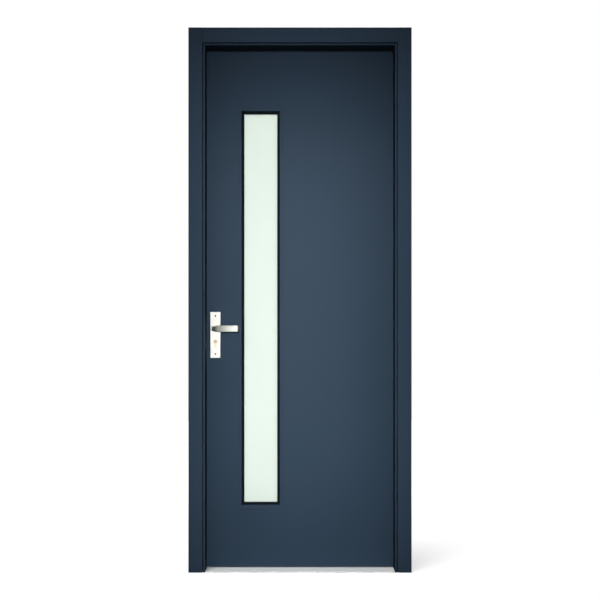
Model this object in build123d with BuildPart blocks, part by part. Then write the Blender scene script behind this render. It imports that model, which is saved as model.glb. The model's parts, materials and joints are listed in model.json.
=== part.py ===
from build123d import *
import os

# A composite door set: a flush leaf with a tall narrow light, hung in a rebated and cased frame.
# Millimetres. The viewer stands at -Y, +X is to the viewer's right and +Z is up. The origin lies
# on the floor, at the middle of the frame's width and of the lining's depth.

# Whole set
overall_width = 860.0
overall_height = 2100.0
lining_depth = 130.0

# Frame section, seen from above
casing_width = 54.0
head_casing_width = 58.0
casing_thickness = 12.0
casing_bevel = 1.5
shadow_groove = 3.0
nose_width = 7.0
nose_setback = 2.0
nose_bevel = 1.2
stop_projection = 14.0
lining_thickness = 30.0
rear_casing_setback = 8.0
tongue_width = 6.0
tongue_length = 9.5
tongue_offset = 10.0
tongue_clearance = 0.2

# Bulb seal in the stop's shoulder
seal_edge = 5.0
seal_groove_width = 4.0
seal_groove_depth = 6.0
seal_bulb_width = 8.0
seal_bevel = 2.0
seal_clearance = 0.1
seal_leaf_clearance = 0.3

# Frame fixings through the rebate, two in each jamb
fixing_radius = 4.0
fixing_inset = 10.0
fixing_spacing = 1200.0
fixing_mid_height = 1000.0

# Threshold
threshold_thickness = 3.0
threshold_clearance = 0.3
threshold_edge = 1.0

# Leaf
leaf_thickness = 45.0
leaf_gap = 3.0
shoulder_gap = 3.0
floor_gap = 3.0
skin_thickness = 3.5
lock_stile_width = 97.0
hinge_stile_width = 70.0
top_rail_height = 70.0
bottom_rail_height = 110.0
trimmer_width = 25.0

# Light: the glass that shows, then its gasket, glazing frame and what carries them
sight_width = 130.0
sight_rise = 252.0
sight_drop = 258.0
light_offset = 222.5
glass_thickness = 8.0
glass_edge_gap = 2.5
gasket_sight = 10.0
gasket_thickness = 6.0
gasket_bevel = 4.0
trim_side_width = 10.5
trim_end_width = 17.5
trim_proud = 0.8
trim_bevel = 0.6
trim_clearance = 0.3
leg_thickness = 3.0
leg_clearance = 0.5
block_length = 30.0
block_inset = 20.0

# Handle plates
backset = 45.0
lever_height = 940.0
plate_width = 40.0
plate_height = 180.0
plate_thickness = 7.0
plate_drop = 24.0
plate_bevel = 1.2

# Lever, seen from above and from the front
lever_reach = 92.0
lever_standoff = 48.5
lever_thickness = 9.0
lever_bar_height = 25.0
lever_bar_corner = 6.0
lever_bar_start = 24.0
lever_flare = 8.0
lever_neck_height = 21.0
neck_half_width = 15.0
outline_overhang = 2.0
lever_bevel = 1.5
lever_plate_gap = 0.3
elbow_x_share = 0.087
elbow_y_share = 0.7
tip_x_share = 0.95
tip_y_share = 1.0
inner_bow_shares = (1.0, 0.55, 0.2)
journal_radius = 9.0
journal_clearance = 0.06
spindle_side = 8.0
spindle_clearance = 0.05
spindle_engagement = 17.0

# Mortise lock
centres = 50.0
case_depth = 76.0
case_height = 118.0
case_thickness = 16.0
case_wall = 1.5
mortise_clearance = 0.5
forend_width = 20.0
forend_height = 200.0
forend_thickness = 3.0
bolt_thickness = 12.0
bolt_clearance = 0.3
bolt_recess = 0.3
working_gap = 0.5
hub_radius = 11.0
spindle_window_radius = 7.5
arm_length = 20.0
arm_half_width = 3.0
latch_height = 18.0
latch_rise = 17.0
latch_length = 25.0
latch_bevel = 8.0
latch_throw = 11.0
tail_height = 5.0
tail_length = 40.0
deadbolt_height = 28.0
deadbolt_length = 75.0
deadbolt_throw = 20.0
talon_length = 20.5
talon_depth = 7.5

# Profile cylinder
cylinder_radius = 8.5
cylinder_tail_width = 10.0
cylinder_tail_drop = 24.5
cylinder_proud = 1.5
cylinder_clearance = 0.3
cylinder_slot_clearance = 1.0
plug_radius = 6.5
plug_clearance = 0.05
cam_thickness = 10.0
cam_gap = 0.2
cam_reach = 15.0
cam_width = 8.0
keyway_width = 1.8
keyway_height = 8.0
keyway_depth = 18.0

# Strike plate in the lock jamb
strike_height = 160.0
strike_width = 24.0
strike_thickness = 2.0
strike_opening_margin = 1.0
pocket_clearance = 3.0

# Lift-off hinges
hinge_height = 100.0
hinge_plate_width = 27.0
hinge_plate_thickness = 3.0
hinge_top_margin = 230.0
hinge_bottom_margin = 250.0
pin_radius = 4.0
pin_clearance = 0.05
pin_offset = 7.0
knuckle_radius = 6.5
knuckle_gap = 0.3
knuckle_count = 2

# Places that follow from the sizes
face_width = casing_width + shadow_groove + nose_width
head_face_width = head_casing_width + shadow_groove + nose_width
front_casing_edge = nose_width + shadow_groove
rear_casing_edge = stop_projection + rear_casing_setback
clear_half = overall_width / 2 - face_width
soffit_height = overall_height - head_face_width
rebate_half = clear_half + stop_projection
lining_front = -lining_depth / 2
lining_rear = lining_depth / 2
leaf_rear = lining_rear
leaf_front = leaf_rear - leaf_thickness
leaf_mid = (leaf_front + leaf_rear) / 2
shoulder = leaf_front - shoulder_gap
shoulder_depth = shoulder - lining_front
seal_mid = seal_edge + seal_groove_width / 2
core_front = leaf_front + skin_thickness
core_thickness = leaf_thickness - 2 * skin_thickness
leaf_half = rebate_half - leaf_gap
leaf_bottom = threshold_thickness + floor_gap
leaf_top = soffit_height + stop_projection - leaf_gap
leaf_height = leaf_top - leaf_bottom
leaf_centre = (leaf_bottom + leaf_top) / 2
sight_height = leaf_height - sight_rise - sight_drop
light_x = -leaf_half + light_offset
light_z = leaf_bottom + sight_rise + sight_height / 2
opening_width = sight_width + 2 * gasket_sight
opening_height = sight_height + 2 * gasket_sight
leg_width = opening_width + 2 * leg_thickness
leg_height = opening_height + 2 * leg_thickness
rough_width = leg_width + 2 * leg_clearance
rough_height = leg_height + 2 * leg_clearance
trim_width = opening_width + 2 * trim_side_width
trim_height = opening_height + 2 * trim_end_width
glass_width = rough_width - 2 * glass_edge_gap
glass_height = rough_height - 2 * glass_edge_gap
glass_front = leaf_mid - glass_thickness / 2
gasket_front = glass_front - gasket_thickness
lock_x = -leaf_half + backset
plate_z = lever_height - plate_drop
plate_face = leaf_front - plate_thickness
socket_side = spindle_side + 2 * spindle_clearance
case_front = -leaf_half + forend_thickness
case_mid_x = case_front + case_depth / 2
bolt_tip = -leaf_half + bolt_recess
latch_z = lever_height + latch_rise
cylinder_z = lever_height - centres
cylinder_front = plate_face - cylinder_proud
cylinder_length = 2 * (leaf_mid - cylinder_front)
deadbolt_low = cylinder_z + cylinder_radius + working_gap
deadbolt_z = deadbolt_low + deadbolt_height / 2
strike_z = (latch_z + deadbolt_z) / 2
fixing_heights = (fixing_mid_height - fixing_spacing / 2, fixing_mid_height + fixing_spacing / 2)
hinge_x = rebate_half - leaf_gap / 2
hinge_y = leaf_rear + pin_offset
hinge_heights = {
    "upper": leaf_top - hinge_top_margin,
    "middle": leaf_centre,
    "lower": leaf_bottom + hinge_bottom_margin,
}
bolts = ((latch_z, latch_height, latch_throw), (deadbolt_z, deadbolt_height, deadbolt_throw))

UP = (0, 0, 1)
REARWARD = (0, 1, 0)

# Section planes of the frame: local x runs outward from the clear opening, local y to the rear
lock_side = Plane(origin=(-clear_half, lining_front, 0), x_dir=(-1, 0, 0), z_dir=(0, 0, -1))
hinge_side = Plane(origin=(clear_half, lining_front, 0), x_dir=(1, 0, 0), z_dir=(0, 0, 1))
head_side = Plane(origin=(0, lining_front, soffit_height), x_dir=(0, 0, 1), z_dir=(-1, 0, 0))
lock_mitre = Plane(origin=(-clear_half, 0, soffit_height), z_dir=(1, 0, 1))
hinge_mitre = Plane(origin=(clear_half, 0, soffit_height), z_dir=(-1, 0, 1))
leaf_mid_plane = Plane(origin=(0, leaf_mid, 0), z_dir=REARWARD)

pieces = {}


def face_plane(depth):
    """Upright plane that faces the viewer: local x is X and local y is Z."""
    return Plane(origin=(0, depth, 0), x_dir=(1, 0, 0), z_dir=(0, -1, 0))


def board_section(plane):
    """Lining board, with the slots for both casings' tongues."""
    slot_width = tongue_width + 2 * tongue_clearance
    slot_depth = tongue_length + tongue_clearance
    with BuildSketch(plane) as section:
        with Locations((stop_projection + lining_thickness / 2, lining_depth / 2)):
            Rectangle(lining_thickness, lining_depth)
        for inner_edge, seat in ((front_casing_edge, 0), (rear_casing_edge, lining_depth)):
            with Locations((inner_edge + tongue_offset + tongue_width / 2, seat)):
                Rectangle(slot_width, 2 * slot_depth, mode=Mode.SUBTRACT)
    return section.sketch


def stop_section(plane):
    """Stop planted on the lining board, with the nose beside the casing and the seal's groove."""
    nose_front = nose_setback - casing_thickness
    with BuildSketch(plane) as section:
        with BuildLine():
            Polyline(
                (0, nose_front),
                (nose_width, nose_front),
                (nose_width, 0),
                (stop_projection, 0),
                (stop_projection, shoulder_depth),
                (0, shoulder_depth),
                close=True,
            )
        make_face()
        chamfer(section.vertices().group_by(Axis.Y)[0], length=nose_bevel)
        with Locations((seal_mid, shoulder_depth)):
            Rectangle(seal_groove_width, 2 * seal_groove_depth, mode=Mode.SUBTRACT)
    return section.sketch


def seal_section(plane):
    """Bulb seal: a stem in the groove and a bevelled bulb just short of the leaf."""
    bulb = shoulder_gap - seal_leaf_clearance
    with BuildSketch(plane) as section:
        with Locations((seal_mid, shoulder_depth + bulb / 2)):
            Rectangle(seal_bulb_width, bulb)
        chamfer(section.vertices().group_by(Axis.Y)[-1], length=seal_bevel)
        with Locations((seal_mid, shoulder_depth - seal_groove_depth / 2)):
            Rectangle(seal_groove_width - 2 * seal_clearance, seal_groove_depth)
    return section.sketch


def casing_section(plane, outer_edge, inner_edge, seat, outward):
    """Casing board on the lining's front, outward -1, or its rear, outward 1, with eased show edges."""
    width = outer_edge - inner_edge
    with BuildSketch(plane) as section:
        with Locations((inner_edge + width / 2, seat + outward * casing_thickness / 2)):
            Rectangle(width, casing_thickness)
        show_edges = section.vertices().group_by(Axis.Y)[0 if outward < 0 else -1]
        chamfer(show_edges, length=casing_bevel)
    return section.sketch


def tongue_section(plane, inner_edge, seat, outward):
    """Tongue on a casing's back, which goes into the lining's slot."""
    with BuildSketch(plane) as section:
        with Locations((inner_edge + tongue_offset + tongue_width / 2, seat - outward * tongue_length / 2)):
            Rectangle(tongue_width, tongue_length)
    return section.sketch


def upright_casing(plane, inner_edge, seat, outward):
    """Casing beside the doorway, over the whole height, its tongue stopped below the head's."""
    with BuildPart() as casing:
        extrude(casing_section(plane, face_width, inner_edge, seat, outward), amount=overall_height, dir=UP)
        tongue_top = soffit_height + inner_edge + tongue_offset
        extrude(tongue_section(plane, inner_edge, seat, outward), amount=tongue_top, dir=UP)
    return casing.part


def head_casing(inner_edge, seat, outward):
    """Casing over the doorway, fitted between the upright ones."""
    half = clear_half + inner_edge
    with BuildPart() as casing:
        extrude(casing_section(head_side, head_face_width, inner_edge, seat, outward), amount=half, both=True)
        extrude(tongue_section(head_side, inner_edge, seat, outward), amount=half, both=True)
    return casing.part


def mitred_upright(section, mitre, foot):
    """Length beside the doorway, from its foot up to the head's mitre."""
    with BuildPart() as upright:
        extrude(section, amount=overall_height, dir=UP)
        split(bisect_by=mitre, keep=Keep.BOTTOM)
        split(bisect_by=Plane.XY.offset(foot), keep=Keep.TOP)
    return upright.part


def mitred_head(section):
    """Length over the doorway, mitred at both ends."""
    with BuildPart() as head:
        extrude(section, amount=overall_width / 2, both=True)
        split(bisect_by=lock_mitre, keep=Keep.TOP)
        split(bisect_by=hinge_mitre, keep=Keep.TOP)
    return head.part


def cut_fixing_holes(side):
    """Fixing holes from the rebate through to the wall, on side -1 or 1, in the open part."""
    for height in fixing_heights:
        seat = (side * rebate_half, shoulder + fixing_inset, height)
        with Locations(Plane(origin=seat, z_dir=(-side, 0, 0))):
            Hole(fixing_radius, depth=lining_thickness)


def cut_hinge_mortises(face, inward):
    """Recesses for the three hinge plates, from x = face, in the open part."""
    for height in hinge_heights.values():
        with Locations((face + inward * hinge_plate_thickness / 2, leaf_rear, height)):
            Box(hinge_plate_thickness, 2 * hinge_plate_width, hinge_height, mode=Mode.SUBTRACT)


def core_slab(left, right, low, high):
    """Slab as thick as the leaf's core, added to the open part."""
    with Locations(((left + right) / 2, leaf_mid, (low + high) / 2)):
        Box(right - left, core_thickness, high - low)


def euro_section(plane, clearance=0):
    """Profile of the lock cylinder, wider all round by a clearance."""
    tail_radius = cylinder_tail_width / 2 + clearance
    tail_z = cylinder_z - cylinder_tail_drop + cylinder_tail_width / 2
    with BuildSketch(plane) as section:
        with Locations((lock_x, cylinder_z)):
            Circle(cylinder_radius + clearance)
        with Locations((lock_x, tail_z)):
            Circle(tail_radius)
        with Locations((lock_x, (cylinder_z + tail_z) / 2)):
            Rectangle(2 * tail_radius, cylinder_z - tail_z)
    return section.sketch


def cut_cylinder_slot(top):
    """Routed slot through the open part, from below the lock cylinder up to a height."""
    low = cylinder_z - cylinder_tail_drop - cylinder_slot_clearance
    high = top + cylinder_slot_clearance
    with Locations((lock_x, leaf_mid, (low + high) / 2)):
        Box(2 * (cylinder_radius + cylinder_slot_clearance), cylinder_length, high - low, mode=Mode.SUBTRACT)


def cut_round_hole(height, radius):
    """Round hole on the lock's centre line through the open part, from face to face of the leaf."""
    with BuildSketch(face_plane(cylinder_front)) as circle:
        with Locations((lock_x, height)):
            Circle(radius)
    extrude(circle.sketch, amount=cylinder_length, dir=REARWARD, mode=Mode.SUBTRACT)


def cut_bolt_windows(x, depth, margin):
    """Windows for latch and deadbolt in the open part, depth long and starting at x."""
    for middle, height, _ in bolts:
        with Locations((x + depth / 2, leaf_mid, middle)):
            Box(depth, bolt_thickness + 2 * margin, height + 2 * margin, mode=Mode.SUBTRACT)


def leaf_skin(depth):
    """Outer sheet of the leaf from a depth rearward, cut for the light and the handle set."""
    with BuildPart() as skin:
        with BuildSketch(face_plane(depth)):
            with Locations((0, leaf_centre)):
                Rectangle(2 * leaf_half, leaf_height)
            with Locations((light_x, light_z)):
                room = 2 * trim_clearance
                Rectangle(trim_width + room, trim_height + room, mode=Mode.SUBTRACT)
        extrude(amount=skin_thickness, dir=REARWARD)
        cut_cylinder_slot(lever_height + spindle_window_radius)
        cut_hinge_mortises(leaf_half, -1)
    return skin.part


def mirrored_to_rear(piece):
    """The same piece on the rear face of the leaf."""
    return mirror(piece, about=leaf_mid_plane)


def knuckle_spans(centre, first):
    """Low and high ends of every second knuckle of the hinge at a height."""
    pitch = hinge_height / knuckle_count
    low = centre - hinge_height / 2
    return [
        (low + index * pitch + knuckle_gap / 2, low + (index + 1) * pitch - knuckle_gap / 2)
        for index in range(first, knuckle_count, 2)
    ]


def hinge_plate(centre, face, inward, first):
    """Hinge plate let into an edge at x = face, towards inward, with every second knuckle."""
    plate_x = face + inward * hinge_plate_thickness / 2
    plate_y = leaf_rear - hinge_plate_width / 2
    with BuildPart() as plate:
        with Locations((plate_x, plate_y, centre)):
            Box(hinge_plate_thickness, hinge_plate_width, hinge_height)
        for low, high in knuckle_spans(centre, first):
            with BuildSketch(Plane.XY.offset(low)):
                with Locations((plate_x, (plate_y + hinge_y) / 2)):
                    Rectangle(hinge_plate_thickness, hinge_y - plate_y)
                with Locations((hinge_x, hinge_y)):
                    Circle(knuckle_radius)
                    Circle(pin_radius + pin_clearance, mode=Mode.SUBTRACT)
            extrude(amount=high - low)
    return plate.part


def hinge_pin(centre):
    """Hinge pin, from the foot of the lower knuckle to the top of the upper one."""
    with BuildPart() as pin:
        with Locations((hinge_x, hinge_y, centre)):
            Cylinder(pin_radius, hinge_height)
    return pin.part


# Frame: lining boards on three sides, mitred at the head
with BuildPart() as lock_jamb:
    add(mitred_upright(board_section(lock_side), lock_mitre, 0))
    with Locations((-rebate_half - strike_thickness / 2, leaf_mid, strike_z)):
        Box(strike_thickness, strike_width, strike_height, mode=Mode.SUBTRACT)
    for middle, height, throw in bolts:
        pocket = throw - leaf_gap + pocket_clearance
        with Locations((-rebate_half - pocket / 2, leaf_mid, middle)):
            room = 2 * strike_opening_margin
            Box(pocket, bolt_thickness + room, height + room, mode=Mode.SUBTRACT)
    cut_fixing_holes(-1)
pieces["lock_jamb"] = lock_jamb.part

with BuildPart() as hinge_jamb:
    add(mitred_upright(board_section(hinge_side), hinge_mitre, 0))
    cut_hinge_mortises(rebate_half, 1)
    cut_fixing_holes(1)
pieces["hinge_jamb"] = hinge_jamb.part

pieces["head_jamb"] = mitred_head(board_section(head_side))

# Stops planted on the boards, with the seals in them
for part_name, section, foot in (("stop", stop_section, 0), ("seal", seal_section, threshold_thickness)):
    pieces[f"lock_side_{part_name}"] = mitred_upright(section(lock_side), lock_mitre, foot)
    pieces[f"hinge_side_{part_name}"] = mitred_upright(section(hinge_side), hinge_mitre, foot)
    pieces[f"head_{part_name}"] = mitred_head(section(head_side))

# Casings: uprights over the whole height, heads between them, front and rear
for face_name, inner_edge, seat, outward in (
    ("front", front_casing_edge, 0, -1),
    ("rear", rear_casing_edge, lining_depth, 1),
):
    pieces[f"{face_name}_casing_lock_side"] = upright_casing(lock_side, inner_edge, seat, outward)
    pieces[f"{face_name}_casing_hinge_side"] = upright_casing(hinge_side, inner_edge, seat, outward)
    pieces[f"{face_name}_casing_head"] = head_casing(inner_edge, seat, outward)

# Threshold: narrow between the stops, wide between the rebates
with BuildPart() as threshold:
    sill_front = lining_front - casing_thickness + nose_setback
    sill_step = shoulder + threshold_clearance
    with BuildSketch(Plane.XY):
        with Locations((0, (sill_front + sill_step) / 2)):
            Rectangle(2 * (clear_half - threshold_clearance), sill_step - sill_front)
        with Locations((0, (sill_step + lining_rear) / 2)):
            Rectangle(2 * (rebate_half - threshold_clearance), lining_rear - sill_step)
    extrude(amount=threshold_thickness)
    top_edges = threshold.faces().sort_by(Axis.Z)[-1].edges().filter_by(Axis.X)
    chamfer([top_edges.sort_by(Axis.Y)[0], top_edges.sort_by(Axis.Y)[-1]], length=threshold_edge)
pieces["threshold"] = threshold.part

# Strike plate, flush in the lock jamb's rebate
with BuildPart() as strike_plate:
    with Locations((-rebate_half - strike_thickness / 2, leaf_mid, strike_z)):
        Box(strike_thickness, strike_width, strike_height)
    cut_bolt_windows(-rebate_half - strike_thickness, strike_thickness, strike_opening_margin)
pieces["strike_plate"] = strike_plate.part

# Hinges: the frame's plate holds the lower knuckle with the pin, and the leaf's plate drops onto it
for place, height in hinge_heights.items():
    pieces[f"{place}_hinge_frame_plate"] = hinge_plate(height, rebate_half, 1, 0)
    pieces[f"{place}_hinge_leaf_plate"] = hinge_plate(height, leaf_half, -1, 1)
    pieces[f"{place}_hinge_pin"] = hinge_pin(height)

# Leaf skins
pieces["front_skin"] = leaf_skin(leaf_front)
pieces["rear_skin"] = leaf_skin(leaf_rear - skin_thickness)

# Leaf core: stiles, rails, trimmers round the light, and foam between them
core_left = -leaf_half + lock_stile_width
core_right = leaf_half - hinge_stile_width
core_low = leaf_bottom + bottom_rail_height
core_high = leaf_top - top_rail_height
rough_left = light_x - rough_width / 2
rough_right = light_x + rough_width / 2
rough_low = light_z - rough_height / 2
rough_high = light_z + rough_height / 2

with BuildPart() as lock_stile:
    core_slab(-leaf_half, core_left, leaf_bottom, leaf_top)
    with Locations((-leaf_half + forend_thickness / 2, leaf_mid, plate_z)):
        Box(forend_thickness, forend_width, forend_height, mode=Mode.SUBTRACT)
    mortise_depth = case_depth + mortise_clearance
    mortise_width = case_thickness + 2 * mortise_clearance
    mortise_height = case_height + 2 * mortise_clearance
    with Locations((case_front + mortise_depth / 2, leaf_mid, plate_z)):
        Box(mortise_depth, mortise_width, mortise_height, mode=Mode.SUBTRACT)
    cut_cylinder_slot(lever_height + spindle_window_radius)
pieces["lock_stile"] = lock_stile.part

with BuildPart() as hinge_stile:
    core_slab(core_right, leaf_half, leaf_bottom, leaf_top)
    cut_hinge_mortises(leaf_half, -1)
pieces["hinge_stile"] = hinge_stile.part

with BuildPart() as top_rail:
    core_slab(core_left, core_right, core_high, leaf_top)
pieces["top_rail"] = top_rail.part

with BuildPart() as bottom_rail:
    core_slab(core_left, core_right, leaf_bottom, core_low)
pieces["bottom_rail"] = bottom_rail.part

with BuildPart() as window_side_trimmers:
    core_slab(rough_left - trimmer_width, rough_left, core_low, core_high)
    core_slab(rough_right, rough_right + trimmer_width, core_low, core_high)
pieces["window_side_trimmers"] = window_side_trimmers.part

with BuildPart() as window_cross_trimmers:
    core_slab(rough_left, rough_right, rough_low - trimmer_width, rough_low)
    core_slab(rough_left, rough_right, rough_high, rough_high + trimmer_width)
pieces["window_cross_trimmers"] = window_cross_trimmers.part

with BuildPart() as foam_core:
    core_slab(core_left, rough_left - trimmer_width, core_low, core_high)
    core_slab(rough_right + trimmer_width, core_right, core_low, core_high)
    core_slab(rough_left, rough_right, core_low, rough_low - trimmer_width)
    core_slab(rough_left, rough_right, rough_high + trimmer_width, core_high)
pieces["foam_core"] = foam_core.part

# Light: pane on setting blocks, between gaskets and glazing frames
with BuildPart() as glass_pane:
    with Locations((light_x, leaf_mid, light_z)):
        Box(glass_width, glass_thickness, glass_height)
pieces["glass_pane"] = glass_pane.part

with BuildPart() as setting_blocks:
    block_x = glass_width / 2 - block_inset - block_length / 2
    for side in (-1, 1):
        with Locations((light_x + side * block_x, leaf_mid, rough_low + glass_edge_gap / 2)):
            Box(block_length, glass_thickness, glass_edge_gap)
pieces["setting_blocks"] = setting_blocks.part

with BuildPart() as front_glazing_gasket:
    with BuildSketch(face_plane(gasket_front)):
        with Locations((light_x, light_z)):
            Rectangle(leg_width, leg_height)
            Rectangle(sight_width, sight_height, mode=Mode.SUBTRACT)
    extrude(amount=gasket_thickness, dir=REARWARD)
    lip = front_glazing_gasket.faces().sort_by(Axis.Y)[0].inner_wires()[0].edges()
    chamfer(lip, length=gasket_bevel)
pieces["front_glazing_gasket"] = front_glazing_gasket.part
pieces["rear_glazing_gasket"] = mirrored_to_rear(front_glazing_gasket.part)

with BuildPart() as front_glazing_frame:
    with BuildSketch(face_plane(leaf_front - trim_proud)):
        with Locations((light_x, light_z)):
            Rectangle(trim_width, trim_height)
            Rectangle(opening_width, opening_height, mode=Mode.SUBTRACT)
    extrude(amount=trim_proud + skin_thickness, dir=REARWARD)
    chamfer(front_glazing_frame.faces().sort_by(Axis.Y)[0].edges(), length=trim_bevel)
    with BuildSketch(face_plane(core_front)):
        with Locations((light_x, light_z)):
            Rectangle(leg_width, leg_height)
            Rectangle(opening_width, opening_height, mode=Mode.SUBTRACT)
    extrude(amount=gasket_front - core_front, dir=REARWARD)
pieces["front_glazing_frame"] = front_glazing_frame.part
pieces["rear_glazing_frame"] = mirrored_to_rear(front_glazing_frame.part)

# Mortise lock: an open case, its cover, and the forend in the leaf's edge
with BuildPart() as lock_case:
    with Locations((case_mid_x, leaf_mid - case_wall / 2, plate_z)):
        Box(case_depth, case_thickness - case_wall, case_height)
    with Locations((case_mid_x, leaf_mid + case_wall, plate_z)):
        Box(case_depth - 2 * case_wall, case_thickness, case_height - 2 * case_wall, mode=Mode.SUBTRACT)
    cut_bolt_windows(case_front, case_wall, bolt_clearance)
    cut_round_hole(lever_height, spindle_window_radius)
    cut_cylinder_slot(cylinder_z + cylinder_radius)
pieces["lock_case"] = lock_case.part

with BuildPart() as lock_cover:
    with Locations((case_mid_x, leaf_mid + (case_thickness - case_wall) / 2, plate_z)):
        Box(case_depth, case_wall, case_height)
    cut_round_hole(lever_height, spindle_window_radius)
    cut_cylinder_slot(cylinder_z + cylinder_radius)
pieces["lock_cover"] = lock_cover.part

with BuildPart() as lock_forend:
    with Locations((-leaf_half + forend_thickness / 2, leaf_mid, plate_z)):
        Box(forend_thickness, forend_width, forend_height)
    cut_bolt_windows(-leaf_half, forend_thickness, bolt_clearance)
pieces["lock_forend"] = lock_forend.part

# Follower on the spindle, with its arm up under the latch's tail
with BuildPart() as follower:
    hub_length = case_thickness - 2 * case_wall - 2 * bolt_clearance
    with BuildSketch(face_plane(leaf_mid - hub_length / 2)):
        with Locations((lock_x, lever_height)):
            Circle(hub_radius)
        with Locations((lock_x, lever_height + arm_length / 2)):
            Rectangle(2 * arm_half_width, arm_length)
    extrude(amount=hub_length, dir=REARWARD)
    with Locations((lock_x, leaf_mid, lever_height)):
        Box(socket_side, hub_length, socket_side, mode=Mode.SUBTRACT)
pieces["follower"] = follower.part

# Latch bolt with its bevelled nose and its tail over the follower
with BuildPart() as latch_bolt:
    with Locations((bolt_tip + latch_length / 2, leaf_mid, latch_z)):
        Box(latch_length, bolt_thickness, latch_height)
    nose_edge = latch_bolt.edges().filter_by(Axis.Z).group_by(Axis.X)[0].sort_by(Axis.Y)[0]
    chamfer(nose_edge, length=latch_bevel)
    latch_top = latch_z + latch_height / 2
    with Locations((bolt_tip + latch_length + tail_length / 2, leaf_mid, latch_top - tail_height / 2)):
        Box(tail_length, bolt_thickness, tail_height)
pieces["latch_bolt"] = latch_bolt.part

# Deadbolt: the cam of the cylinder works in the talon cut in its lower edge
with BuildPart() as deadbolt:
    with Locations((bolt_tip + deadbolt_length / 2, leaf_mid, deadbolt_z)):
        Box(deadbolt_length, bolt_thickness, deadbolt_height)
    with Locations((lock_x + talon_length / 2, leaf_mid, deadbolt_low)):
        Box(talon_length, bolt_thickness, 2 * talon_depth, mode=Mode.SUBTRACT)
pieces["deadbolt"] = deadbolt.part

# Profile cylinder: a body with a gap for the cam, and the plug with its cam
with BuildPart() as cylinder_body:
    extrude(euro_section(face_plane(cylinder_front)), amount=cylinder_length, dir=REARWARD)
    cut_round_hole(cylinder_z, plug_radius + plug_clearance)
    with Locations((lock_x, leaf_mid, cylinder_z - cam_reach - working_gap)):
        gap_height = cam_reach + working_gap + cylinder_radius
        Box(2 * cylinder_radius, cam_thickness + 2 * cam_gap, gap_height,
            align=(Align.CENTER, Align.CENTER, Align.MIN), mode=Mode.SUBTRACT)
pieces["cylinder_body"] = cylinder_body.part

with BuildPart() as cylinder_plug:
    with BuildSketch(face_plane(cylinder_front)):
        with Locations((lock_x, cylinder_z)):
            Circle(plug_radius)
    extrude(amount=cylinder_length, dir=REARWARD)
    with BuildSketch(face_plane(leaf_mid - cam_thickness / 2)):
        with Locations((lock_x, cylinder_z - cam_reach / 2)):
            Rectangle(cam_width, cam_reach)
        with Locations((lock_x, cylinder_z)):
            Circle(cam_reach, mode=Mode.INTERSECT)
    extrude(amount=cam_thickness, dir=REARWARD)
    for end in (cylinder_front, cylinder_front + cylinder_length):
        with Locations((lock_x, end, cylinder_z)):
            Box(keyway_width, 2 * keyway_depth, keyway_height, mode=Mode.SUBTRACT)
pieces["cylinder_plug"] = cylinder_plug.part

# Handle plates
with BuildPart() as front_handle_plate:
    with BuildSketch(face_plane(plate_face)):
        with Locations((lock_x, plate_z)):
            Rectangle(plate_width, plate_height)
    extrude(amount=plate_thickness, dir=REARWARD)
    chamfer(front_handle_plate.faces().sort_by(Axis.Y)[0].edges(), length=plate_bevel)
    cut_round_hole(lever_height, journal_radius + journal_clearance)
    keyhole = euro_section(face_plane(plate_face), cylinder_clearance)
    extrude(keyhole, amount=plate_thickness, dir=REARWARD, mode=Mode.SUBTRACT)
pieces["front_handle_plate"] = front_handle_plate.part
pieces["rear_handle_plate"] = mirrored_to_rear(front_handle_plate.part)

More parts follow.
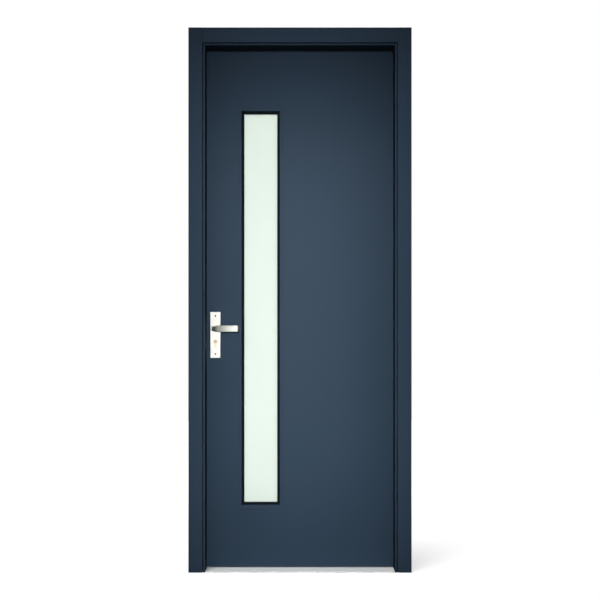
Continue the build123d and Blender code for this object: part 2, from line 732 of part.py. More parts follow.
# Lever: plan of neck, elbow and swept bar, kept to the outline seen from the front
lever_base = plate_face - lever_plate_gap
lever_axis_point = (lock_x, lever_base, lever_height)
lever_plan = Plane(origin=lever_axis_point, x_dir=(1, 0, 0), z_dir=(0, 0, -1))
lever_face = Plane(origin=lever_axis_point, x_dir=(1, 0, 0), z_dir=(0, -1, 0))
neck_radius = lever_neck_height / 2
neck_left = neck_half_width + outline_overhang
bar_half = lever_bar_height / 2
with BuildPart() as front_lever:
    with BuildSketch(lever_plan):
        with BuildLine():
            elbow_end = (elbow_x_share * lever_reach, elbow_y_share * lever_standoff)
            tip = (tip_x_share * lever_reach, tip_y_share * lever_standoff)
            elbow = TangentArc((-neck_half_width, 0), elbow_end, tangent=(0, 1))
            bow = TangentArc(elbow @ 1, tip, tangent=elbow % 1)
            inner_points = [
                bow @ share + Vector((bow % share).Y, -(bow % share).X) * lever_thickness
                for share in inner_bow_shares
            ]
            tip_end = (bow @ 1 + inner_points[0]) / 2 + (bow % 1) * lever_thickness / 2
            ThreePointArc(bow @ 1, tip_end, inner_points[0])
            inner_bow = ThreePointArc(*inner_points)
            inner_elbow = TangentArc(inner_bow @ 1, (neck_half_width, 0), tangent=inner_bow % 1)
            Line(inner_elbow @ 1, (-neck_half_width, 0))
        make_face()
    extrude(amount=lever_bar_height / 2, both=True)
    with BuildSketch(lever_face) as lever_outline:
        with BuildLine():
            Polyline(
                (neck_radius - neck_left, neck_radius),
                (lever_bar_start - lever_flare, neck_radius),
                (lever_bar_start, bar_half),
                (tip_end.X + outline_overhang, bar_half),
                (tip_end.X + outline_overhang, -bar_half),
                (lever_bar_start, -bar_half),
                (lever_bar_start - lever_flare, -neck_radius),
                (neck_radius - neck_left, -neck_radius),
            )
            ThreePointArc(
                (neck_radius - neck_left, -neck_radius),
                (-neck_left, 0),
                (neck_radius - neck_left, neck_radius),
            )
        make_face()
        fillet(lever_outline.vertices().group_by(Axis.X)[-1], radius=lever_bar_corner)
    extrude(amount=lever_standoff + lever_thickness, mode=Mode.INTERSECT)
    bar_edges = [
        edge
        for edge in front_lever.edges().filter_by(GeomType.LINE, reverse=True)
        if edge.center().X > lock_x + lever_bar_start and abs(edge.center().Z - lever_height) > bar_half / 2
    ]
    chamfer(bar_edges, length=lever_bevel)
    with BuildSketch(face_plane(lever_base)):
        with Locations((lock_x, lever_height)):
            Circle(journal_radius)
    extrude(amount=plate_thickness + lever_plate_gap, dir=REARWARD)
    spindle_end = plate_face - spindle_engagement
    with Locations((lock_x, leaf_front, lever_height)):
        Box(socket_side, 2 * (leaf_front - spindle_end + working_gap), socket_side, mode=Mode.SUBTRACT)
pieces["front_lever"] = front_lever.part
pieces["rear_lever"] = mirrored_to_rear(front_lever.part)

with BuildPart() as spindle:
    with Locations((lock_x, leaf_mid, lever_height)):
        Box(spindle_side, 2 * (leaf_mid - spindle_end), spindle_side)
pieces["spindle"] = spindle.part

os.makedirs("parts", exist_ok=True)
for name, piece in pieces.items():
    piece.label = name
    export_step(piece, f"parts/{name}.step")
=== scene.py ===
import json
import logging
import math
from dataclasses import dataclass
from enum import Enum
from typing import Any, ClassVar, Iterable, Optional, Sequence

import bpy
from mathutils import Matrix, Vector


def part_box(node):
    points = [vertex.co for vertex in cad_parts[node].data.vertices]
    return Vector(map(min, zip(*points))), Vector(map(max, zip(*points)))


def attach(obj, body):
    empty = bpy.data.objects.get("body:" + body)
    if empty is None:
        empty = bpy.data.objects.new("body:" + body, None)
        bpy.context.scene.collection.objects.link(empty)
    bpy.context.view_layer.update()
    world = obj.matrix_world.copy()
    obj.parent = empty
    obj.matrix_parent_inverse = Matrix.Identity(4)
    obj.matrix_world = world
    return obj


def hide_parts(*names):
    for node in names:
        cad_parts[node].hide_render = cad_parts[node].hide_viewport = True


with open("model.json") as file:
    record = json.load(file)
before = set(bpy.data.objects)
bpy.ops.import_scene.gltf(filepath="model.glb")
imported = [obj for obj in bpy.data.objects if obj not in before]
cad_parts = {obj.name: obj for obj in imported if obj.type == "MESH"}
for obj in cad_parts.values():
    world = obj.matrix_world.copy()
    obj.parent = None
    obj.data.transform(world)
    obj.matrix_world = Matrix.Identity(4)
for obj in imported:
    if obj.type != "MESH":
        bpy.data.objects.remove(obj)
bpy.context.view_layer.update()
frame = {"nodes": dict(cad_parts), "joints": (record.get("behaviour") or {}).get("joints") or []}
MM = 0.001
# Numbers of the axes.
X, Y, Z = 0, 1, 2
# How squarely a face has to look along an axis, as a cosine, and how near it has to lie, to be covered.
FACING_COSINE = 0.9
COVER_REACH_MM = 0.5
# How close corners of a CAD mesh lie that are one, and the least bend and the steps of an eased edge.
WELD_MM = 0.02
EASED_BEND_DEG = 50.0
EASED_STEPS = 2
# Numbers of sockets whose names repeat within a node: a Mix of colours, and a Random Value of floats.
MIX_FACTOR, MIX_FIRST, MIX_SECOND, MIX_RESULT = 0, 6, 7, 2
RANDOM_LEAST, RANDOM_MOST, RANDOM_RESULT = 2, 3, 1

logging.basicConfig(level=logging.INFO, format="%(name)s: %(message)s")
log = logging.getLogger("door")


def to_linear(hex_colour: str) -> tuple[float, float, float, float]:
    """Turn a written sRGB colour into the linear one that the shader takes.

    Args:
        hex_colour: six hexadecimal digits, with or without a leading hash.

    Returns:
        Red, green, blue and an alpha of one.
    """
    digits = hex_colour.lstrip("#")
    parts = [int(digits[at : at + 2], 16) / 255 for at in (0, 2, 4)]
    red, green, blue = (p / 12.92 if p <= 0.04045 else ((p + 0.055) / 1.055) ** 2.4 for p in parts)
    return red, green, blue, 1.0


def add_node(
    tree: bpy.types.NodeTree,
    kind: str,
    settings: Optional[dict[str, Any]] = None,
    inputs: Optional[dict[Any, Any]] = None,
) -> bpy.types.Node:
    """Add one node, set its properties, and fill or link its inputs.

    Args:
        tree: the node tree that takes the node.
        kind: the node's type name.
        settings: properties of the node itself.
        inputs: a constant or another node's output for each named or numbered input.

    Returns:
        The new node.
    """
    node = tree.nodes.new(kind)
    for key, value in (settings or {}).items():
        setattr(node, key, value)
    for key, value in (inputs or {}).items():
        if isinstance(value, bpy.types.NodeSocket):
            tree.links.new(value, node.inputs[key])
        else:
            node.inputs[key].default_value = value
    return node


class Pattern(Enum):
    """The kinds of surface pattern, by the texture that draws them."""

    MOTTLE = "ShaderNodeTexNoise"
    CELLS = "ShaderNodeTexVoronoi"


@dataclass(frozen=True)
class Texture:
    """One procedural pattern with its real size.

    Attributes:
        pattern: which texture draws it.
        size_mm: the length of one feature along X, Y and Z.
        detail: how many finer layers lie on top, for a mottle.
    """

    pattern: Pattern
    size_mm: tuple[float, float, float]
    detail: float = 2.0

    def build(self, tree: bpy.types.NodeTree) -> bpy.types.NodeSocket:
        """Draw the pattern in the object's own coordinates.

        Args:
            tree: the material's node tree.

        Returns:
            The output that carries the pattern as a value from zero to one.
        """
        place = add_node(tree, "ShaderNodeTexCoord")
        scale = tuple(1.0 / (MM * size) for size in self.size_mm)
        sized = add_node(
            tree, "ShaderNodeMapping",
            inputs={"Vector": place.outputs["Object"], "Scale": scale},
        )
        inputs: dict[str, Any] = {"Vector": sized.outputs["Vector"], "Scale": 1.0}
        if self.pattern is Pattern.MOTTLE:
            inputs["Detail"] = self.detail
        texture = add_node(tree, self.pattern.value, inputs=inputs)
        return texture.outputs["Fac" if self.pattern is Pattern.MOTTLE else "Distance"]


@dataclass(frozen=True)
class Finish:
    """A real material and what the eye gets from it.

    Attributes:
        name: the material's name.
        colour: its written colour.
        roughness: how far it spreads a reflection.
        metallic: one for bare metal, else zero.
        specular: strength of the reflection of a non-metal.
        second_colour: the other end of its tone, where the tone wanders.
        tone: the pattern that the tone follows.
        relief: the fine pattern that raises the surface.
        relief_mm: how high that pattern stands.
        roughness_spread: how much the roughness follows the relief.
        transmission: one for glass, else zero.
        ior: index of refraction of a non-metal.
    """

    name: str
    colour: str
    roughness: float
    metallic: float = 0.0
    specular: float = 0.5
    second_colour: str = ""
    tone: Optional[Texture] = None
    relief: Optional[Texture] = None
    relief_mm: float = 0.0
    roughness_spread: float = 0.0
    transmission: float = 0.0
    ior: float = 1.5

    def build(self) -> bpy.types.Material:
        """Make the material, or hand back the one already made.

        Returns:
            The material.
        """
        made = bpy.data.materials.get(self.name)
        if made is not None:
            return made
        material = bpy.data.materials.new(self.name)
        material.use_nodes = True
        tree = material.node_tree
        shader = tree.nodes["Principled BSDF"]
        shader.inputs["Base Color"].default_value = to_linear(self.colour)
        shader.inputs["Roughness"].default_value = self.roughness
        shader.inputs["Metallic"].default_value = self.metallic
        shader.inputs["Transmission Weight"].default_value = self.transmission
        if not self.metallic:
            shader.inputs["Specular IOR Level"].default_value = self.specular
            shader.inputs["IOR"].default_value = self.ior
        if self.tone is not None:
            mixer = add_node(
                tree, "ShaderNodeMix", {"data_type": "RGBA"},
                {
                    MIX_FACTOR: self.tone.build(tree),
                    MIX_FIRST: to_linear(self.colour),
                    MIX_SECOND: to_linear(self.second_colour),
                },
            )
            tree.links.new(mixer.outputs[MIX_RESULT], shader.inputs["Base Color"])
        if self.relief is not None:
            height = self.relief.build(tree)
            bump = add_node(
                tree, "ShaderNodeBump",
                inputs={"Height": height, "Distance": self.relief_mm * MM, "Strength": 1.0},
            )
            tree.links.new(bump.outputs["Normal"], shader.inputs["Normal"])
            if self.roughness_spread:
                spread = add_node(
                    tree, "ShaderNodeMapRange",
                    inputs={
                        "Value": height,
                        "To Min": self.roughness - self.roughness_spread,
                        "To Max": self.roughness + self.roughness_spread,
                    },
                )
                tree.links.new(spread.outputs["Result"], shader.inputs["Roughness"])
        return material


# Matt foil on the leaf: an even dark slate blue with a fine pressed grain and hardly any gloss.
LEAF_FOIL = Finish(
    "slate_foil_on_composite_skin", "#2f3e4d", 0.30, specular=0.006,
    second_colour="#314152", tone=Texture(Pattern.MOTTLE, (260, 260, 420), 3),
    relief=Texture(Pattern.MOTTLE, (0.9, 0.9, 0.9)), relief_mm=0.012, roughness_spread=0.03,
)
# The same foil on lining, stops and casings, a shade bluer and with a grain that runs along the upright.
FRAME_FOIL = Finish(
    "slate_foil_on_lining", "#2e3e4f", 0.65, specular=0.05,
    second_colour="#314152", tone=Texture(Pattern.MOTTLE, (180, 180, 700), 3),
    relief=Texture(Pattern.MOTTLE, (0.8, 0.8, 3.0)), relief_mm=0.012, roughness_spread=0.03,
)
# Painted shade: the stops' inner faces take a near-black foil, the shade inside the doorway painted into
# their colour.
PAINTED_SHADE_REVEAL_FOIL = Finish(
    "foil_with_painted_shade_in_reveal", "#161e27", 0.70, specular=0.03,
    relief=Texture(Pattern.MOTTLE, (0.8, 0.8, 3.0)), relief_mm=0.012, roughness_spread=0.03,
)
# Black rubber with a dull bloom, which draws the dark line round the glass and the leaf; laid at the bottom
# of the frame's grooves it is painted shade.
SEAL_RUBBER_AND_GROOVE_SHADE = Finish(
    "black_seal_rubber", "#0d1318", 0.72, specular=0.05,
    relief=Texture(Pattern.MOTTLE, (0.7, 0.7, 0.7)), relief_mm=0.01, roughness_spread=0.06,
)
# Silver lacquered aluminium of the sill strip: pale and dull, the one light line under the dark leaf.
SILL_ALUMINIUM = Finish(
    "silver_lacquered_aluminium", "#f7f9f8", 0.55, specular=0.4,
    relief=Texture(Pattern.MOTTLE, (60, 0.5, 0.5)), relief_mm=0.004, roughness_spread=0.06,
)
# Brushed stainless hinges and their screws, a little darker than the handle plates.
HINGE_STEEL = Finish(
    "brushed_stainless_steel", "#b9bcbd", 0.32, metallic=1.0,
    relief=Texture(Pattern.MOTTLE, (0.4, 0.4, 25)), relief_mm=0.004, roughness_spread=0.08,
)
# Zinc plated lock parts: cool, slightly clouded grey.
LOCK_STEEL = Finish(
    "zinc_plated_steel", "#a9adb2", 0.36, metallic=1.0,
    second_colour="#b9bcbc", tone=Texture(Pattern.MOTTLE, (14, 14, 14), 4),
    relief=Texture(Pattern.MOTTLE, (1.5, 1.5, 1.5)), relief_mm=0.004, roughness_spread=0.08,
)
# Satin nickel of the handle plates, near white where it faces the room.
PLATE_NICKEL = Finish(
    "satin_nickel_plate", "#dcdcd7", 0.70, metallic=1.0,
    relief=Texture(Pattern.MOTTLE, (0.3, 0.3, 12)), relief_mm=0.003, roughness_spread=0.05,
)
# Duller bead-blasted nickel of the levers, which goes from grey to white along the bow.
LEVER_NICKEL = Finish(
    "blasted_nickel_lever", "#a8aba4", 0.57, metallic=1.0,
    relief=Texture(Pattern.MOTTLE, (0.5, 0.5, 0.5)), relief_mm=0.006, roughness_spread=0.05,
)
# Nickelled brass of the cylinder's body, hardly darker than the plate round it.
CYLINDER_NICKEL = Finish(
    "nickelled_brass", "#cbc6b8", 0.60, metallic=1.0,
    relief=Texture(Pattern.MOTTLE, (0.6, 6, 0.6)), relief_mm=0.004, roughness_spread=0.08,
)
# Warm dull brass of the key plug, the one yellowish spot on the handle plate.
PLUG_BRASS = Finish(
    "dull_brass", "#aa9f80", 0.60, metallic=1.0,
    relief=Texture(Pattern.MOTTLE, (0.6, 6, 0.6)), relief_mm=0.004, roughness_spread=0.08,
)
# Blackened steel of the handle plates' screws, two dark dots on each pale plate.
SCREW_STEEL = Finish(
    "dark_screw_steel", "#45484a", 0.66, metallic=1.0,
    relief=Texture(Pattern.MOTTLE, (0.5, 0.5, 0.5)), relief_mm=0.003, roughness_spread=0.06,
)
# Planed softwood of the leaf's hidden frame, with grain along the upright.
CORE_TIMBER = Finish(
    "planed_softwood", "#c79f6c", 0.62, specular=0.3,
    second_colour="#a87c4a", tone=Texture(Pattern.MOTTLE, (7, 7, 260), 5),
    relief=Texture(Pattern.MOTTLE, (1.2, 1.2, 40)), relief_mm=0.05, roughness_spread=0.05,
)
# Pale rigid foam with small closed cells.
CORE_FOAM = Finish(
    "rigid_insulating_foam", "#e2d6a8", 0.85, specular=0.2,
    second_colour="#cdbf8c", tone=Texture(Pattern.CELLS, (3, 3, 3)),
    relief=Texture(Pattern.CELLS, (1.4, 1.4, 1.4)), relief_mm=0.2,
)
# Frosted laminated glass with a faint mint tint, lit through by the pale room behind.
FROSTED_GLASS = Finish(
    "frosted_laminated_glass", "#e4efe6", 0.75, transmission=1.0, ior=1.45,
    relief=Texture(Pattern.MOTTLE, (1.0, 1.0, 1.0)), relief_mm=0.01,
)


def dress(names: Iterable[str], finish: Finish) -> None:
    """Give CAD nodes their material.

    Args:
        names: the CAD nodes.
        finish: the finish they take.
    """
    for name in names:
        node = frame["nodes"][name]
        node.data.materials.clear()
        node.data.materials.append(finish.build())
        log.info("dressed %s in %s", name, finish.name)


def cover_faces(name: str, finish: Finish, axis: int, side: float, inset_mm: float = 0.0) -> None:
    """Cover the faces of a CAD node that look along one axis, at its end or a step back from it.

    Args:
        name: the CAD node.
        finish: the finish of the covered faces.
        axis: X, Y or Z.
        side: plus or minus one for the end of that axis.
        inset_mm: how far the faces lie back from that end.
    """
    node = frame["nodes"][name]
    material = finish.build()
    if material.name not in node.data.materials:
        node.data.materials.append(material)
    cover = node.data.materials.find(material.name)
    low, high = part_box(name)
    edge = (high[axis] if side > 0 else low[axis]) - side * inset_mm * MM
    for face in node.data.polygons:
        near = abs(face.center[axis] - edge) < COVER_REACH_MM * MM
        if near and face.normal[axis] * side > FACING_COSINE:
            face.material_index = cover


def ease_edges(name: str, width_mm: float) -> None:
    """Round the sharp edges of a CAD node, so that they catch the light.

    Args:
        name: the CAD node.
        width_mm: the width of the rounding.
    """
    node = frame["nodes"][name]
    weld = node.modifiers.new("weld", "WELD")
    weld.merge_threshold = WELD_MM * MM
    bevel = node.modifiers.new("eased_edges", "BEVEL")
    bevel.width = width_mm * MM
    bevel.segments = EASED_STEPS
    bevel.limit_method = "ANGLE"
    bevel.angle_limit = math.radians(EASED_BEND_DEG)
    bevel.harden_normals = True


def new_object(name: str, points: Sequence[Vector], faces: Sequence[Sequence[int]]) -> bpy.types.Object:
    """Make a mesh object at the origin.

    Args:
        name: the object's name.
        points: its corners in metres, in the part's own frame.
        faces: its faces as lists of corner numbers.

    Returns:
        The new object, linked into the scene.
    """
    mesh = bpy.data.meshes.new(name)
    mesh.from_pydata(points, [], faces)
    mesh.update()
    made = bpy.data.objects.new(name, mesh)
    bpy.context.scene.collection.objects.link(made)
    return made


def joint_place(name: str) -> Vector:
    """Give the point that a joint turns about, in metres."""
    return Vector(next(joint["pos_m"] for joint in frame["joints"] if joint["name"] == name))


def heights_inset(name: str, inset_mm: float) -> tuple[float, float]:
    """Give the heights that lie a step in from a CAD node's lower and upper end, in millimetres."""
    low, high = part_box(name)
    return low.z / MM + inset_mm, high.z / MM - inset_mm


@dataclass(frozen=True)
class ScrewSeat:
    """Where one screw sits.

    Attributes:
        place_mm: the centre of its head on the face it holds.
        facing: the way the head looks.
        size: its size, where one is the screw set's own head.
    """

    place_mm: tuple[float, float, float]
    facing: tuple[float, float, float]
    size: float


@dataclass
class ScrewSet:
    """The raised countersunk screws, as one node tree that sets a head on every seat.

    Attributes:
        head_radius_mm: the radius of a head of size one.
        head_rise_mm: how far its dome stands off the face.
        slot_share: the width of the cross slot as a share of the radius.
        reach_share: the length of the cross slot as a share of the diameter.
        depth_share: the depth of the cross slot as a share of the rise.
        ball_steps: the steps round the ball that makes the dome, and from pole to pole.
        seed: fixes how each slot is turned.
    """

    head_radius_mm: float = 4.0
    head_rise_mm: float = 0.9
    slot_share: float = 0.26
    reach_share: float = 0.62
    depth_share: float = 0.8
    ball_steps: tuple[int, int] = (24, 12)
    seed: int = 7

    def tree(self) -> bpy.types.NodeTree:
        """Build the node tree once and hand it back after that.

        Returns:
            The geometry node tree.
        """
        made = bpy.data.node_groups.get("countersunk_screws")
        if made is not None:
            return made
        tree = bpy.data.node_groups.new("countersunk_screws", "GeometryNodeTree")
        sockets = tree.interface
        sockets.new_socket(name="Geometry", in_out="OUTPUT", socket_type="NodeSocketGeometry")
        sockets.new_socket(name="Seats", in_out="INPUT", socket_type="NodeSocketGeometry")
        for label in ("Head Radius", "Head Rise", "Slot Width", "Slot Length", "Slot Depth"):
            sockets.new_socket(name=label, in_out="INPUT", socket_type="NodeSocketFloat")
        sockets.new_socket(name="Seed", in_out="INPUT", socket_type="NodeSocketInt")
        sockets.new_socket(name="Steel", in_out="INPUT", socket_type="NodeSocketMaterial")
        given = add_node(tree, "NodeGroupInput").outputs
        segments, rings = self.ball_steps
        ball = add_node(
            tree, "GeometryNodeMeshUVSphere",
            inputs={"Segments": segments, "Rings": rings},
        )
        girth = add_node(
            tree, "ShaderNodeCombineXYZ",
            inputs={"X": given["Head Radius"], "Y": given["Head Radius"], "Z": given["Head Rise"]},
        )
        dome = add_node(
            tree, "GeometryNodeTransform",
            inputs={"Geometry": ball.outputs["Mesh"], "Scale": girth.outputs["Vector"]},
        )
        cutters = []
        for across, along in (("Slot Width", "Slot Length"), ("Slot Length", "Slot Width")):
            size = add_node(
                tree, "ShaderNodeCombineXYZ",
                inputs={"X": given[across], "Y": given[along], "Z": given["Slot Depth"]},
            )
            bar = add_node(tree, "GeometryNodeMeshCube", inputs={"Size": size.outputs["Vector"]})
            lift = add_node(tree, "ShaderNodeCombineXYZ", inputs={"Z": given["Head Rise"]})
            raised = add_node(
                tree, "GeometryNodeTransform",
                inputs={"Geometry": bar.outputs["Mesh"], "Translation": lift.outputs["Vector"]},
            )
            cutters.append(raised.outputs["Geometry"])
        head = add_node(tree, "GeometryNodeMeshBoolean", {"operation": "DIFFERENCE"})
        tree.links.new(dome.outputs["Geometry"], head.inputs[0])
        for cutter in cutters:
            tree.links.new(cutter, head.inputs[1])
        facing = add_node(
            tree, "GeometryNodeInputNamedAttribute", {"data_type": "FLOAT_VECTOR"},
            {"Name": "facing"},
        )
        size = add_node(tree, "GeometryNodeInputNamedAttribute", {"data_type": "FLOAT"}, {"Name": "size"})
        aim = add_node(
            tree, "FunctionNodeAlignRotationToVector", {"axis": "Z"},
            {"Vector": facing.outputs["Attribute"]},
        )
        spin = add_node(
            tree, "FunctionNodeRandomValue", {"data_type": "FLOAT"},
            {"Seed": given["Seed"], RANDOM_LEAST: 0.0, RANDOM_MOST: math.pi / 2},
        )
        turn = add_node(
            tree, "FunctionNodeAxisAngleToRotation",
            inputs={"Axis": (0, 0, 1), "Angle": spin.outputs[RANDOM_RESULT]},
        )
        turned = add_node(
            tree, "FunctionNodeRotateRotation", {"rotation_space": "LOCAL"},
            {"Rotation": aim.outputs["Rotation"], "Rotate By": turn.outputs["Rotation"]},
        )
        set_on = add_node(
            tree, "GeometryNodeInstanceOnPoints",
            inputs={
                "Points": given["Seats"],
                "Instance": head.outputs["Mesh"],
                "Rotation": turned.outputs["Rotation"],
                "Scale": size.outputs["Attribute"],
            },
        )
        solid = add_node(
            tree, "GeometryNodeRealizeInstances",
            inputs={"Geometry": set_on.outputs["Instances"]},
        )
        steel = add_node(
            tree, "GeometryNodeSetMaterial",
            inputs={"Geometry": solid.outputs["Geometry"], "Material": given["Steel"]},
        )
        add_node(tree, "NodeGroupOutput", inputs={"Geometry": steel.outputs["Geometry"]})
        return tree

    def build(
        self,
        name: str,
        seats: Sequence[ScrewSeat],
        body: str,
        slot: str,
        finish: Finish,
    ) -> None:
        """Set a screw on every seat of one body, as one plain mesh.

        Args:
            name: the piece's name.
            seats: where the screws sit.
            body: the body they ride on.
            slot: the record's material slot; not used.
            finish: the screws' finish.
        """
        points = [Vector(seat.place_mm) * MM for seat in seats]
        piece = new_object(name, points, [])
        facing = piece.data.attributes.new("facing", "FLOAT_VECTOR", "POINT")
        facing.data.foreach_set("vector", [part for seat in seats for part in seat.facing])
        size = piece.data.attributes.new("size", "FLOAT", "POINT")
        size.data.foreach_set("value", [seat.size for seat in seats])
        tree = self.tree()
        slots = {item.name: item.identifier for item in tree.interface.items_tree if item.in_out == "INPUT"}
        modifier = piece.modifiers.new("screws", "NODES")
        modifier.node_group = tree
        radius = self.head_radius_mm * MM
        rise = self.head_rise_mm * MM
        given = {
            "Head Radius": radius,
            "Head Rise": rise,
            "Slot Width": radius * self.slot_share,
            "Slot Length": 2 * radius * self.reach_share,
            "Slot Depth": 2 * rise * self.depth_share,
            "Seed": self.seed,
            "Steel": finish.build(),
        }
        for label, value in given.items():
            modifier[slots[label]] = value
        shown = piece.evaluated_get(bpy.context.evaluated_depsgraph_get())
        plain = bpy.data.meshes.new_from_object(shown)
        piece.modifiers.clear()
        piece.data = plain
        plain.name = name
        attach(piece, body)
        log.info("set %d screws as %s on %s", len(seats), name, body)


@dataclass
class DoorFrame:
    """The lining, its casings and seals, the sill strip and the strike plate.

    Attributes:
        casing_ease_mm: the rounding of the casings' edges.
        groove_depth_mm: how deep the groove between nose and casing is, where a strip of black rubber paints
            its shade.
        strike_screw_inset_mm: how far the strike plate's screws lie from its ends.
        strike_screw_size: the size of those screws.
    """

    casing_ease_mm: float = 0.5
    groove_depth_mm: float = 10.0
    strike_screw_inset_mm: float = 10.0
    strike_screw_size: float = 0.9

    linings: ClassVar[tuple[str, ...]] = (
        "lock_jamb", "hinge_jamb", "head_jamb", "lock_side_stop", "hinge_side_stop", "head_stop",
    )
    casings: ClassVar[tuple[str, ...]] = (
        "front_casing_lock_side", "front_casing_hinge_side", "front_casing_head",
        "rear_casing_lock_side", "rear_casing_hinge_side", "rear_casing_head",
    )
    seals: ClassVar[tuple[str, ...]] = ("lock_side_seal", "hinge_side_seal", "head_seal")

    def build(self) -> None:
        """Dress the frame's nodes."""
        dress(self.linings, FRAME_FOIL)
        dress(self.casings, FRAME_FOIL)
        dress(self.seals, SEAL_RUBBER_AND_GROOVE_SHADE)
        dress(["threshold"], SILL_ALUMINIUM)
        dress(["strike_plate"], LOCK_STEEL)
        # The stops' inner faces take painted shade, and the step at the bottom of each groove takes black
        # rubber that paints the groove's shade.
        for name, axis, side in (("lock_side_stop", X, 1), ("hinge_side_stop", X, -1), ("head_stop", Z, -1)):
            cover_faces(name, PAINTED_SHADE_REVEAL_FOIL, axis, side)
            cover_faces(name, SEAL_RUBBER_AND_GROOVE_SHADE, Y, -1, self.groove_depth_mm)
        for name in self.casings:
            ease_edges(name, self.casing_ease_mm)

    def screw_seats(self) -> list[ScrewSeat]:
        """Place the strike plate's screws.

        Returns:
            Their seats, on the plate's face.
        """
        low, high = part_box("strike_plate")
        face = high.x / MM
        middle = (low.y + high.y) / 2 / MM
        heights = heights_inset("strike_plate", self.strike_screw_inset_mm)
        return [ScrewSeat((face, middle, z), (1, 0, 0), self.strike_screw_size) for z in heights]


@dataclass
class Hinges:
    """Three lift-off hinges, each with a frame plate, a leaf plate and a pin.

    Attributes:
        screw_pitch_mm: the distance between the screws of one plate.
        screw_stagger_mm: how far the middle screw stands from the line of the others.
        screw_depth_share: how far across the plate the screws sit, from its front edge.
        screw_size: the size of the screws.
    """

    screw_pitch_mm: float = 35.0
    screw_stagger_mm: float = 4.0
    screw_depth_share: float = 0.42
    screw_size: float = 0.9

    places: ClassVar[tuple[str, ...]] = ("upper", "middle", "lower")

    def build(self) -> None:
        """Dress plates and pins."""
        for place in self.places:
            parts = [f"{place}_hinge_{part}" for part in ("frame_plate", "leaf_plate", "pin")]
            dress(parts, HINGE_STEEL)

    def screw_seats(self, part: str, facing: float) -> list[ScrewSeat]:
        """Place the screws of all plates of one kind.

        Args:
            part: frame_plate or leaf_plate.
            facing: plus or minus one, the way the plates' faces look along X.

        Returns:
            Three seats for each plate.
        """
        seats = []
        for place in self.places:
            plate = f"{place}_hinge_{part}"
            low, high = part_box(plate)
            pin_low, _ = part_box(f"{place}_hinge_pin")
            face = self.plate_face(plate, facing)
            line = low.y + (pin_low.y - low.y) * self.screw_depth_share
            middle = (low.z + high.z) / 2
            for step in (-1, 0, 1):
                shift = self.screw_stagger_mm * (1 if step == 0 else -1) / 2
                spot = (face / MM, line / MM + shift, middle / MM + step * self.screw_pitch_mm)
                seats.append(ScrewSeat(spot, (facing, 0, 0), self.screw_size))
        return seats

    @staticmethod
    def plate_face(name: str, facing: float) -> float:
        """Find where a plate's flat face lies.

        Args:
            name: the plate's CAD node.
            facing: plus or minus one, the way that face looks along X.

        Returns:
            The X of the largest face that looks that way, in metres.
        """
        sides = frame["nodes"][name].data.polygons
        flat = [side for side in sides if side.normal.x * facing > FACING_COSINE]
        return max(flat, key=lambda side: side.area).center.x


@dataclass
class Leaf:
    """The door leaf: skins, hidden timber frame and foam, and the glazed light.

    Attributes:
        trim_ease_mm: the rounding of the glazing frames' edges.
    """

    trim_ease_mm: float = 0.3

    skins: ClassVar[tuple[str, ...]] = ("front_skin", "rear_skin")
    trimmers: ClassVar[tuple[str, ...]] = ("window_side_trimmers", "window_cross_trimmers")
    timbers: ClassVar[tuple[str, ...]] = ("lock_stile", "hinge_stile", "top_rail", "bottom_rail")
    trims: ClassVar[tuple[str, ...]] = ("front_glazing_frame", "rear_glazing_frame")
    rubbers: ClassVar[tuple[str, ...]] = ("front_glazing_gasket", "rear_glazing_gasket", "setting_blocks")

    def build(self) -> None:
        """Dress the leaf, with foil round its edges and a black sealant bed under the glazing frames."""
        dress(self.skins, LEAF_FOIL)
        dress(self.timbers + self.trimmers, CORE_TIMBER)
        dress(["foam_core"], CORE_FOAM)
        dress(self.trims, LEAF_FOIL)
        dress(self.rubbers, SEAL_RUBBER_AND_GROOVE_SHADE)
        dress(["glass_pane"], FROSTED_GLASS)
        for side, stile, rail in ((-1, "lock_stile", "bottom_rail"), (1, "hinge_stile", "top_rail")):
            cover_faces(stile, LEAF_FOIL, X, side)
            for name in ("lock_stile", "hinge_stile", rail):
                cover_faces(name, LEAF_FOIL, Z, side)
            for name in self.trimmers:
                cover_faces(name, SEAL_RUBBER_AND_GROOVE_SHADE, Y, side)
        for name in self.trims:
            ease_edges(name, self.trim_ease_mm)


@dataclass
class LockSet:
    """The mortise lock with its bolts, forend and cylinder.

    Attributes:
        forend_screw_inset_mm: how far the forend's screws lie from its ends.
        forend_screw_size: the size of those screws.
        fixing_drop_mm: how far the screw that holds the cylinder lies under the key's axis.
        fixing_screw_size: the size of that screw.
    """

    forend_screw_inset_mm: float = 8.0
    forend_screw_size: float = 0.9
    fixing_drop_mm: float = 20.0
    fixing_screw_size: float = 0.8

    steels: ClassVar[tuple[str, ...]] = (
        "lock_case", "lock_cover", "lock_forend", "follower", "latch_bolt", "deadbolt", "spindle",
    )

    def build(self) -> None:
        """Dress the lock's nodes."""
        dress(self.steels, LOCK_STEEL)
        dress(["cylinder_body"], CYLINDER_NICKEL)
        dress(["cylinder_plug"], PLUG_BRASS)

    def screw_seats(self) -> list[ScrewSeat]:
        """Place the forend's screws and the cylinder's fixing screw.

        Returns:
            Their seats, on the forend's face.
        """
        low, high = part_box("lock_forend")
        face = low.x / MM
        middle = (low.y + high.y) / 2 / MM
        heights = heights_inset("lock_forend", self.forend_screw_inset_mm)
        seats = [ScrewSeat((face, middle, z), (-1, 0, 0), self.forend_screw_size) for z in heights]
        fixing_z = joint_place("key_turn").z / MM - self.fixing_drop_mm
        seats.append(ScrewSeat((face, middle, fixing_z), (-1, 0, 0), self.fixing_screw_size))
        return seats


class Side(Enum):
    """The two faces of the door, by the way a handle stands off them along Y."""

    FRONT = -1
    REAR = 1

    @property
    def label(self) -> str:
        """Give the word that the names of this side's pieces begin with."""
        return self.name.lower()


